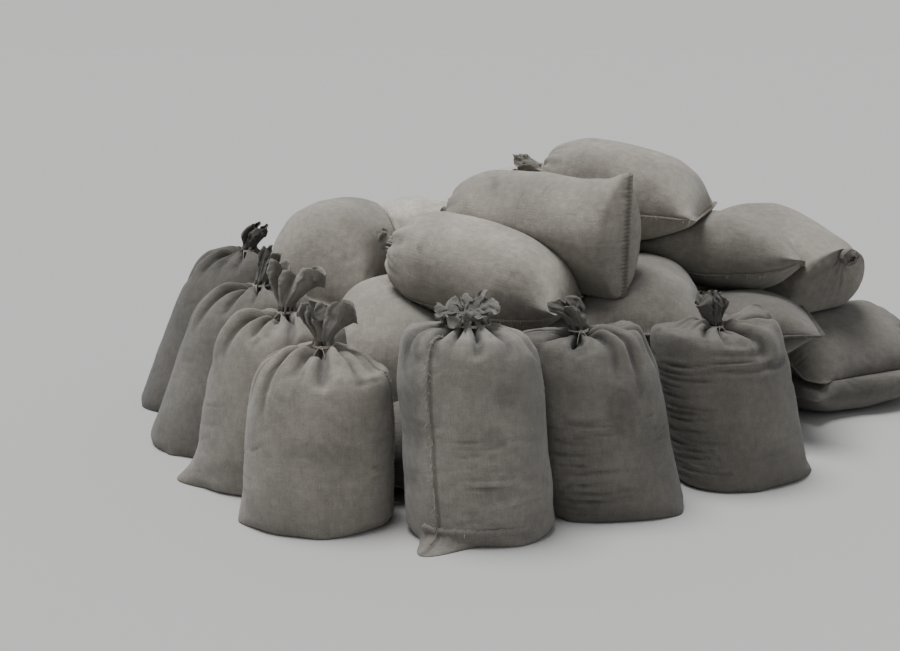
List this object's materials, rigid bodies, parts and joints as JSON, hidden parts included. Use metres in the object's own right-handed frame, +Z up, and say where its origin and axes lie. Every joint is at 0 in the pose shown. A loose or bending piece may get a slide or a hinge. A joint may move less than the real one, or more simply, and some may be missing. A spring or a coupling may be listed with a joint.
{
  "type": "heap of filled grain sacks",
  "caption": "Tied burlap grain sacks: a curved row stands upright in front, and the rest lie behind it in a heap several layers deep.",
  "frame": {"origin": "on the ground, under the middle of the heap", "axes": "+X along the front row to the right, seen from the front; +Y away from the front row; +Z up"},
  "size_m": [3.5008, 2.6236, 1.1267],
  "materials": {
    "jute": "plain-woven jute, matt and hairy",
    "pale_jute": "plain-woven jute, bleached by the sun",
    "dark_jute": "plain-woven jute, worn and stained",
    "twine": "twisted jute twine"
  },
  "bodies": {
    "root": {"front_row_sack_1": "dark_jute", "front_row_sack_1_twine": "twine", "front_row_sack_2": "jute", "front_row_sack_2_twine": "twine", "front_row_sack_3": "jute", "front_row_sack_3_twine": "twine", "front_row_sack_4": "jute", "front_row_sack_4_twine": "twine", "front_row_sack_5": "pale_jute", "front_row_sack_5_twine": "twine", "front_row_sack_6": "jute", "front_row_sack_6_twine": "twine", "front_row_sack_7": "dark_jute", "front_row_sack_7_twine": "twine", "ground_sack_1": "jute", "ground_sack_10": "jute", "ground_sack_2": "jute", "ground_sack_3": "jute", "ground_sack_4": "dark_jute", "ground_sack_5": "jute", "ground_sack_6": "jute", "ground_sack_7": "dark_jute", "ground_sack_8": "jute", "ground_sack_9": "jute", "second_layer_sack_1": "jute", "second_layer_sack_2": "jute", "second_layer_sack_3": "dark_jute", "second_layer_sack_4": "dark_jute", "second_layer_sack_5": "pale_jute", "second_layer_sack_6": "jute", "second_layer_sack_7": "dark_jute", "second_layer_sack_8": "jute", "third_layer_sack_1": "jute", "third_layer_sack_2": "pale_jute", "third_layer_sack_3": "jute", "third_layer_sack_4": "jute", "third_layer_sack_5": "jute", "third_layer_sack_6": "dark_jute", "third_layer_sack_7": "pale_jute", "third_layer_sack_8": "jute", "top_sack": "jute", "top_sack_twine": "twine", "upper_sack_1": "jute", "upper_sack_2": "pale_jute"}
  },
  "joints": []
}
